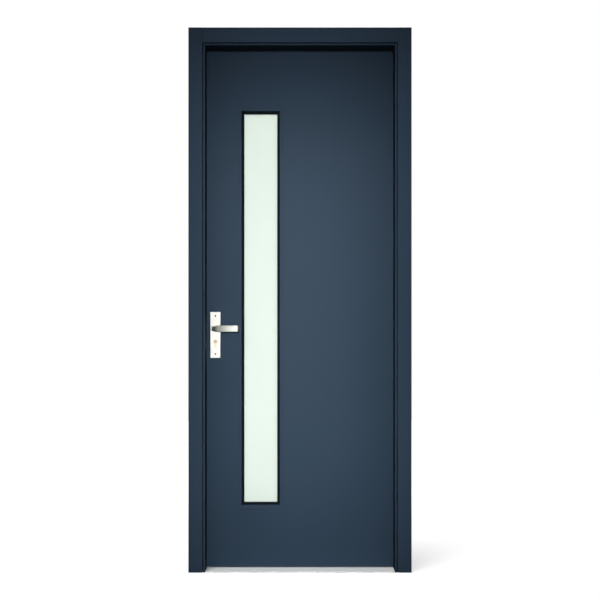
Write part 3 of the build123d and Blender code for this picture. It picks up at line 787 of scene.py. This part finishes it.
@dataclass
class LeverForm:
    """The bowed lever as a row of rounded sections swept along its plan.

    Attributes:
        neck_half_mm: half the neck's width at its foot.
        elbow_mm: where the outer elbow runs into the bow, along the bar and off the plate.
        bow_end_mm: where the outer bow ends.
        thickness_mm: the bar's thickness.
        inner_start_share: where the inner bow leaves the elbow, along the bow.
        neck_height_mm: the neck's height.
        bar_height_mm: the bar's height.
        flare_mm: where the neck's height starts to grow and where it is the bar's, along the bar.
        neck_power: how oblong the neck's section is, where two is an oval.
        bar_power: how oblong the bar's section is.
        tip_turn_deg: how far the rounding of the tip turns before it ends flat.
        tip_drop_mm: how much the bar's half height would lose over a quarter turn of that rounding.
        tip_power_drop: how much less oblong the section would get over a quarter turn.
        journal_radius_mm: the radius of the round foot in the plate.
        elbow_steps: the sections along the elbow.
        bow_steps: the steps between sections along the bow.
        tip_steps: the sections round the tip.
        ring_count: the corners round one section.
        sharp_bend_deg: the least bend of an edge that is shaded sharp.
    """

    neck_half_mm: float = 15.0
    elbow_mm: tuple[float, float] = (8.0, 33.95)
    bow_end_mm: tuple[float, float] = (87.4, 48.5)
    thickness_mm: float = 9.0
    inner_start_share: float = 0.2
    neck_height_mm: float = 21.0
    bar_height_mm: float = 25.0
    flare_mm: tuple[float, float] = (2.0, 24.0)
    neck_power: float = 2.4
    bar_power: float = 5.6
    tip_turn_deg: float = 84.0
    tip_drop_mm: float = 1.6
    tip_power_drop: float = 1.6
    journal_radius_mm: float = 9.0
    elbow_steps: int = 14
    bow_steps: int = 24
    tip_steps: int = 8
    ring_count: int = 40
    sharp_bend_deg: float = 48.0

    @staticmethod
    def arc(
        start: Vector,
        heading: Vector,
        end: Vector,
        shares: Sequence[float],
    ) -> tuple[list[Vector], Vector]:
        """Walk along the arc that leaves a point on a heading and reaches another.

        Args:
            start: where the arc leaves.
            heading: its direction there, of length one.
            end: where it arrives.
            shares: how far along it to stop, from zero to one.

        Returns:
            The stops, and the heading at the end.
        """
        chord = end - start
        normal = Vector((heading.y, -heading.x))
        radius = chord.length_squared / (2 * chord.dot(normal))
        centre = start + normal * radius
        turn = 2 * math.asin(max(-1.0, min(1.0, chord.length / (2 * abs(radius)))))
        if chord.dot(heading) < 0:
            turn = 2 * math.pi - turn
        turn = -turn if radius > 0 else turn

        def spun(vector: Vector, angle: float) -> Vector:
            """Turn a vector in its plane."""
            cos, sin = math.cos(angle), math.sin(angle)
            return Vector((vector.x * cos - vector.y * sin, vector.x * sin + vector.y * cos))

        stops = [centre + spun(start - centre, turn * share) for share in shares]
        return stops, spun(heading, turn)

    def edges(self) -> tuple[list[Vector], list[Vector], Vector]:
        """Walk along the outer and the inner edge of the plan.

        Returns:
            Matching points of both edges from the foot to the tip, and the heading at the tip.
        """
        elbow_shares = [step / self.elbow_steps for step in range(self.elbow_steps)]
        bow_shares = [step / self.bow_steps for step in range(self.bow_steps + 1)]
        foot = Vector((-self.neck_half_mm, 0.0))
        elbow = Vector(self.elbow_mm)
        tip = Vector(self.bow_end_mm)
        outer, heading = self.arc(foot, Vector((0.0, 1.0)), elbow, elbow_shares)
        bow, tip_heading = self.arc(elbow, heading, tip, bow_shares)
        outer = outer + bow
        inner_shares = [self.inner_start_share + (1 - self.inner_start_share) * share for share in bow_shares]
        chord = tip - elbow
        normal = Vector((heading.y, -heading.x))
        centre = elbow + normal * (chord.length_squared / (2 * chord.dot(normal)))
        on_bow, _ = self.arc(elbow, heading, tip, inner_shares)
        inner_bow = [point + (centre - point).normalized() * self.thickness_mm for point in on_bow]
        first = inner_bow[0]
        away = Vector(((centre - first).y, -(centre - first).x)).normalized()
        inner_foot = Vector((self.neck_half_mm, 0.0))
        inner_elbow, _ = self.arc(first, away, inner_foot, [1 - share for share in elbow_shares])
        return outer, inner_elbow + inner_bow, tip_heading

    def ring(self, centre: Vector, half: Vector, height: float, power: float = 2.0) -> list[Vector]:
        """Lay out one rounded section.

        Args:
            centre: its middle in the plan.
            half: half its thickness, as a direction in the plan.
            height: half its height.
            power: two for an oval, more for a rounded oblong.

        Returns:
            The section's corners: along the bar, off the plate, up.
        """
        corners = []
        for step in range(self.ring_count):
            angle = 2 * math.pi * step / self.ring_count
            cos, sin = math.cos(angle), math.sin(angle)
            across = math.copysign(abs(cos) ** (2 / power), cos)
            rise = math.copysign(abs(sin) ** (2 / power), sin)
            spot = centre + half * across
            corners.append(Vector((spot.x, spot.y, height * rise)))
        return corners

    def sections(self, journal_mm: float) -> list[list[Vector]]:
        """Lay out every section from the end of the journal to the tip.

        Args:
            journal_mm: how far the round journal goes on behind the neck's foot.

        Returns:
            The corners of each section: along the bar, off the plate, up.
        """
        outer, inner, heading = self.edges()
        journal = Vector((-self.journal_radius_mm, 0.0))
        rings = [self.ring(Vector((0.0, end)), journal, self.journal_radius_mm) for end in (-journal_mm, 0.0)]
        middle, half = Vector((0.0, 0.0)), Vector((0.0, 0.0))
        flare_start, flare_end = self.flare_mm
        for outside, inside in zip(outer, inner):
            middle = (outside + inside) / 2
            half = (outside - inside) / 2
            flare = min(1.0, max(0.0, (middle.x - flare_start) / (flare_end - flare_start)))
            smooth = flare * flare * (3 - 2 * flare)
            height = self.neck_height_mm + (self.bar_height_mm - self.neck_height_mm) * smooth
            power = self.neck_power + (self.bar_power - self.neck_power) * smooth
            rings.append(self.ring(middle, half, height / 2, power))
        reach = self.thickness_mm / 2
        for step in range(1, self.tip_steps + 1):
            angle = math.radians(self.tip_turn_deg * step / self.tip_steps)
            past = middle + heading * reach * math.sin(angle)
            lost = 1 - math.cos(angle)
            height = self.bar_height_mm / 2 - self.tip_drop_mm * lost
            power = self.bar_power - self.tip_power_drop * lost
            rings.append(self.ring(past, half * math.cos(angle), height, power))
        return rings

    def build(
        self,
        name: str,
        side: Side,
        axis: Vector,
        foot_y: float,
        journal_mm: float,
    ) -> bpy.types.Object:
        """Sweep the sections into a closed lever.

        Args:
            name: the piece's name.
            side: the face of the door it stands on.
            axis: the turning axis of the lever, in metres.
            foot_y: the Y of the neck's foot, in metres.
            journal_mm: how far the round journal goes on behind the foot.

        Returns:
            The lever as an object at the origin.
        """
        rings = self.sections(journal_mm)
        stand = side.value * MM
        points = [
            Vector((axis.x + corner.x * MM, foot_y + corner.y * stand, axis.z + corner.z * MM))
            for ring in rings
            for corner in ring
        ]
        around = self.ring_count
        last = (len(rings) - 1) * around
        faces: list[list[int]] = []
        for row in range(0, last, around):
            for step in range(around):
                ahead = (step + 1) % around
                faces.append([row + step, row + ahead, row + around + ahead, row + around + step])
        faces.append(list(range(around))[::-1])
        faces.append(list(range(last, last + around)))
        # The front lever is the mirror image of the rear one, so its faces turn round to look outward.
        if side is Side.FRONT:
            faces = [face[::-1] for face in faces]
        made = new_object(name, points, faces)
        made.data.shade_smooth()
        made.data.set_sharp_from_angle(angle=math.radians(self.sharp_bend_deg))
        return made


@dataclass
class HandleSet:
    """The two handle plates with their levers.

    Attributes:
        screw_inset_mm: how far the plates' screws lie from their ends.
        screw_size: the size of those screws.
        journal_mm: how far each lever's journal goes into its plate.
        foot_gap_mm: the gap between a plate and the neck of its lever.
    """

    screw_inset_mm: float = 15.5
    screw_size: float = 0.85
    journal_mm: float = 6.0
    foot_gap_mm: float = 0.3

    def build(self) -> None:
        """Dress the plates and set the swept levers in place of the plain ones."""
        dress(["front_handle_plate", "rear_handle_plate"], PLATE_NICKEL)
        for side in Side:
            self.build_lever(side)

    @staticmethod
    def plate_face(side: Side) -> float:
        """Give the Y of the outer face of one side's plate, in metres."""
        low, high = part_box(f"{side.label}_handle_plate")
        return low.y if side is Side.FRONT else high.y

    def build_lever(self, side: Side) -> None:
        """Build one lever and let it ride on the lever set.

        Args:
            side: the face of the door.
        """
        name = side.label
        axis = joint_place("lever_turn")
        foot = self.plate_face(side) + self.foot_gap_mm * MM * side.value
        lever = LeverForm().build(f"{name}_lever_shaped", side, axis, foot, self.journal_mm)
        lever.data.materials.append(LEVER_NICKEL.build())
        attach(lever, "lever_set")
        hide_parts(f"{name}_lever")
        log.info("built %s", lever.name)

    def screw_seats(self) -> list[ScrewSeat]:
        """Place the plates' screws.

        Returns:
            Their seats, on both plates' faces.
        """
        seats = []
        for side in Side:
            plate = f"{side.label}_handle_plate"
            low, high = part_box(plate)
            middle = (low.x + high.x) / 2 / MM
            face = self.plate_face(side) / MM
            for z in heights_inset(plate, self.screw_inset_mm):
                seats.append(ScrewSeat((middle, face, z), (0, side.value, 0), self.screw_size))
        return seats


@dataclass(frozen=True)
class Lamp:
    """One soft lamp.

    Attributes:
        name: the lamp's name.
        place_m: where it hangs.
        target_m: the point it looks at.
        size_m: its width and height.
        watts: its power.
        spread_deg: the angle that its grid leaves open.
    """

    name: str
    place_m: tuple[float, float, float]
    target_m: tuple[float, float, float]
    size_m: tuple[float, float]
    watts: float
    spread_deg: float = 180.0

    def hang(self) -> None:
        """Hang the lamp in the scene."""
        data = bpy.data.lights.new(self.name, "AREA")
        data.shape = "RECTANGLE"
        data.size, data.size_y = self.size_m
        data.energy = self.watts
        data.spread = math.radians(self.spread_deg)
        lamp = bpy.data.objects.new(self.name, data)
        lamp.location = self.place_m
        aim = Vector(self.target_m) - Vector(self.place_m)
        lamp.rotation_euler = aim.to_track_quat("-Z", "Y").to_euler()
        bpy.context.scene.collection.objects.link(lamp)
        log.info("hung %s", self.name)


# A gridded softbox behind and above the camera gives the light that falls off towards the frame's corners,
# one overhead gives the short shadow on the floor, and weak gridded ones show the other sides.
LAMPS = (
    Lamp("front_softbox", (-0.03, -5.4, 1.45), (-0.01, 0.0, 0.95), (0.75, 1.9), 6.6, 15.0),
    Lamp("ceiling_softbox", (-0.9, -3.0, 17.5), (0.0, 0.0, 0.5), (2.0, 4.5), 1650.0),
    Lamp("left_panel", (-4.5, 0.0, 1.2), (0.0, 0.0, 1.0), (1.0, 1.6), 2.0, 30.0),
    Lamp("right_panel", (4.5, 0.0, 1.2), (0.0, 0.0, 1.0), (1.0, 1.6), 2.0, 30.0),
    Lamp("rear_softbox", (3.4, 3.6, 1.1), (0.0, 0.0, 1.2), (1.0, 1.6), 9.0, 28.0),
)


@dataclass
class Studio:
    """A white floor and room with soft lamps, and the camera in front of the door.

    Attributes:
        camera_m: where the camera stands.
        lens_mm: its lens.
        sensor_mm: the width of its sensor.
        shift_up: how far the picture is shifted up, as a share of its width.
        room_light: the level of the dim room that lights the door from all round.
        white_slopes: between which slopes along Y the room that metal and glass show turns white.
        floor_reach_m: how far the floor reaches each way.
        floor_drop_mm: how far it lies under the door.
        floor_glow: the share of the floor's white that no shadow takes away, beside the door.
        floor_tones: how much light the floor throws back onto the door, and to the eye.
        fade_m: between which distances from the door the floor turns into the white of the room.
    """

    camera_m: tuple[float, float, float] = (0.0, -4.929, 0.896)
    lens_mm: float = 75.6
    sensor_mm: float = 36.0
    shift_up: float = 0.0667
    room_light: float = 0.05
    white_slopes: tuple[float, float] = (-0.1, 0.2)
    floor_reach_m: float = 9.0
    floor_drop_mm: float = 0.5
    floor_glow: float = 0.65
    floor_tones: tuple[float, float] = (0.15, 0.6)
    fade_m: tuple[float, float] = (1.0, 2.6)

    def build(self) -> None:
        """Set up world, floor, lamps and camera."""
        bpy.context.scene.view_settings.view_transform = "Standard"
        self.build_world()
        self.build_floor()
        for lamp in LAMPS:
            lamp.hang()
        self.build_camera()

    @staticmethod
    def seen_ray(tree: bpy.types.NodeTree) -> dict[str, bpy.types.NodeSocket]:
        """Tell apart the rays that look at the background.

        Args:
            tree: the node tree.

        Returns:
            The camera's rays, and those that reach it by a mirror or through glass.
        """
        path = add_node(tree, "ShaderNodeLightPath")
        bent = add_node(
            tree, "ShaderNodeMath", {"operation": "MAXIMUM"},
            {0: path.outputs["Is Glossy Ray"], 1: path.outputs["Is Transmission Ray"]},
        )
        return {"camera": path.outputs["Is Camera Ray"], "bent": bent.outputs["Value"]}

    def build_world(self) -> None:
        """Make the world white to look at behind the door, and a dim even light elsewhere."""
        world = bpy.data.worlds.new("studio")
        bpy.context.scene.world = world
        world.use_nodes = True
        tree = world.node_tree
        rays = self.seen_ray(tree)
        place = add_node(tree, "ShaderNodeTexCoord")
        parts = add_node(tree, "ShaderNodeSeparateXYZ", inputs={"Vector": place.outputs["Generated"]})
        behind = add_node(
            tree, "ShaderNodeMapRange",
            inputs={
                "Value": parts.outputs["Y"],
                "From Min": self.white_slopes[0],
                "From Max": self.white_slopes[1],
            },
        )
        mirrored = add_node(
            tree, "ShaderNodeMath", {"operation": "MULTIPLY"},
            {0: rays["bent"], 1: behind.outputs["Result"]},
        )
        white = add_node(
            tree, "ShaderNodeMath", {"operation": "MAXIMUM"},
            {0: rays["camera"], 1: mirrored.outputs["Value"]},
        )
        level = add_node(
            tree, "ShaderNodeMapRange",
            inputs={"Value": white.outputs["Value"], "To Min": self.room_light, "To Max": 1.0},
        )
        tree.links.new(level.outputs["Result"], tree.nodes["Background"].inputs["Strength"])
        tree.nodes["Background"].inputs["Color"].default_value = (1, 1, 1, 1)

    def build_floor(self) -> None:
        """Lay the white floor, which keeps the door's soft shadow."""
        reach = self.floor_reach_m
        drop = self.floor_drop_mm * MM
        corners = [Vector((x * reach, y * reach, -drop)) for x, y in ((-1, -1), (1, -1), (1, 1), (-1, 1))]
        floor = new_object("studio_floor", corners, [[0, 1, 2, 3]])
        material = bpy.data.materials.new("white_studio_floor")
        material.use_nodes = True
        tree = material.node_tree
        tree.nodes.remove(tree.nodes["Principled BSDF"])
        rays = self.seen_ray(tree)
        seen = add_node(
            tree, "ShaderNodeMath", {"operation": "MAXIMUM"},
            {0: rays["camera"], 1: rays["bent"]},
        )
        place = add_node(tree, "ShaderNodeTexCoord")
        away = add_node(tree, "ShaderNodeVectorMath", {"operation": "LENGTH"}, {0: place.outputs["Object"]})
        fade = add_node(
            tree, "ShaderNodeMapRange", {"interpolation_type": "SMOOTHSTEP"},
            {
                "Value": away.outputs["Value"],
                "From Min": self.fade_m[0],
                "From Max": self.fade_m[1],
                "To Min": self.floor_glow,
                "To Max": 1.0,
            },
        )
        glow = add_node(
            tree, "ShaderNodeMath", {"operation": "MULTIPLY"},
            {0: seen.outputs["Value"], 1: fade.outputs["Result"]},
        )
        light = add_node(tree, "ShaderNodeEmission", inputs={"Strength": glow.outputs["Value"]})
        tone = add_node(
            tree, "ShaderNodeMapRange",
            inputs={
                "Value": seen.outputs["Value"],
                "To Min": self.floor_tones[0],
                "To Max": self.floor_tones[1],
            },
        )
        matt = add_node(tree, "ShaderNodeBsdfDiffuse", inputs={"Color": tone.outputs["Result"]})
        both = add_node(tree, "ShaderNodeAddShader", inputs={0: light.outputs[0], 1: matt.outputs[0]})
        tree.links.new(both.outputs[0], tree.nodes["Material Output"].inputs["Surface"])
        floor.data.materials.append(material)

    def build_camera(self) -> None:
        """Stand the camera square in front of the door."""
        data = bpy.data.cameras.new("front_camera")
        data.lens = self.lens_mm
        data.sensor_width = self.sensor_mm
        data.shift_y = self.shift_up
        camera = bpy.data.objects.new("front_camera", data)
        camera.location = self.camera_m
        camera.rotation_euler = (math.pi / 2, 0.0, 0.0)
        bpy.context.scene.collection.objects.link(camera)
        bpy.context.scene.camera = camera


def main() -> None:
    """Dress the door, add its small parts and set up the studio."""
    lining, hinges, leaf, lock, handles = DoorFrame(), Hinges(), Leaf(), LockSet(), HandleSet()
    for part in (lining, hinges, leaf, lock, handles):
        part.build()
    screws = ScrewSet()
    on_frame = lining.screw_seats() + hinges.screw_seats("frame_plate", -1)
    on_leaf = hinges.screw_seats("leaf_plate", 1) + lock.screw_seats()
    screws.build("frame_screws", on_frame, "frame", "hinge_steel", HINGE_STEEL)
    screws.build("leaf_screws", on_leaf, "leaf", "hinge_steel", HINGE_STEEL)
    screws.build("handle_screws", handles.screw_seats(), "leaf", "handle_steel", SCREW_STEEL)
    Studio().build()


if __name__ == "__main__":
    main()
